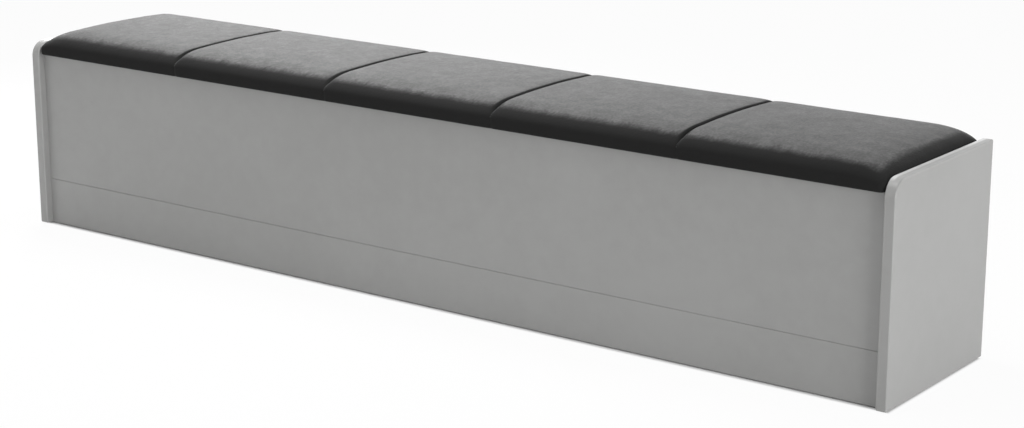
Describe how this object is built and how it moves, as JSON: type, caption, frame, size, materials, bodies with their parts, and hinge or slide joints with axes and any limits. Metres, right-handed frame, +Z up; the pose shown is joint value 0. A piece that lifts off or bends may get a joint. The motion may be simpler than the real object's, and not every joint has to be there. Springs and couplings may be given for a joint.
{
  "type": "storage bench",
  "caption": "Long low bedroom storage bench: a padded lid in sewn sections, hinged along the back, over storage bays between slab end panels.",
  "frame": {"origin": "on the floor, under the middle of the bench", "axes": "+X along the bench to the sitter's left, -Y out of the front, +Z up"},
  "size_m": [2.2, 0.395, 0.4609],
  "materials": {
    "grey_board": "satin light grey lacquered board",
    "beech": "planed beech",
    "zinc": "zinc plated steel",
    "steel": "bright plated steel",
    "dark_plastic": "moulded dark grey plastic",
    "clear_pad": "soft clear polyurethane",
    "lid_board": "raw particle board",
    "foam": "open-cell seat foam",
    "velour": "dark grey velour over wadding, nap mottled",
    "lining": "black non-woven lining"
  },
  "bodies": {
    "carcass": {"left_end_panel": "grey_board", "right_end_panel": "grey_board", "front_panel": "grey_board", "plinth_board": "grey_board", "back_panel": "grey_board", "centre_divider": "grey_board", "left_base_panel": "grey_board", "right_base_panel": "grey_board", "front_battens": "beech", "back_battens": "beech", "end_battens": "beech", "divider_battens": "beech", "batten_screws": "steel", "corner_cams": "zinc", "corner_bolts": "zinc", "corner_dowels": "beech", "divider_cams": "zinc", "divider_bolts": "zinc", "plinth_dowels": "beech", "floor_glides": "dark_plastic", "lid_pads": "clear_pad", "hinge_1_fixed_leaf": "steel", "hinge_2_fixed_leaf": "steel", "hinge_3_fixed_leaf": "steel", "hinge_4_fixed_leaf": "steel", "hinge_1_pin": "zinc", "hinge_2_pin": "zinc", "hinge_3_pin": "zinc", "hinge_4_pin": "zinc", "fixed_leaf_screws": "steel", "left_stay_plate": "steel", "right_stay_plate": "steel", "left_guide_stud": "zinc", "right_guide_stud": "zinc", "stay_plate_screws": "steel"},
    "lid": {"lid_board": "lid_board", "seat_foam": "foam", "seat_cover": "velour", "lid_lining": "lining", "hinge_1_moving_leaf": "steel", "hinge_2_moving_leaf": "steel", "hinge_3_moving_leaf": "steel", "hinge_4_moving_leaf": "steel", "moving_leaf_screws": "steel", "left_stay_bracket": "steel", "right_stay_bracket": "steel", "left_stay_rivet": "zinc", "right_stay_rivet": "zinc", "stay_bracket_screws": "steel", "left_stay_washer": "clear_pad", "right_stay_washer": "clear_pad"},
    "left_stay": {"left_stay_arm": "steel"},
    "right_stay": {"right_stay_arm": "steel"}
  },
  "joints": [
    {"name": "lid_hinge", "type": "hinge", "parent": "carcass", "child": "lid", "pos_m": [0, 0.189, 0.4008], "axis": [-1, 0, 0], "range_deg": [0, 80]},
    {"name": "left_stay_pivot", "type": "hinge", "parent": "lid", "child": "left_stay", "pos_m": [-1.07125, 0.0497, 0.3868], "axis": [1, 0, 0], "range_deg": [0, 40]},
    {"name": "right_stay_pivot", "type": "hinge", "parent": "lid", "child": "right_stay", "pos_m": [1.07125, 0.0497, 0.3868], "axis": [1, 0, 0], "range_deg": [0, 40]}
  ],
  "couplings": [
    {"joint": "left_stay_pivot", "follows": "lid_hinge", "ratio": 0.5},
    {"joint": "right_stay_pivot", "follows": "lid_hinge", "ratio": 0.5}
  ]
}
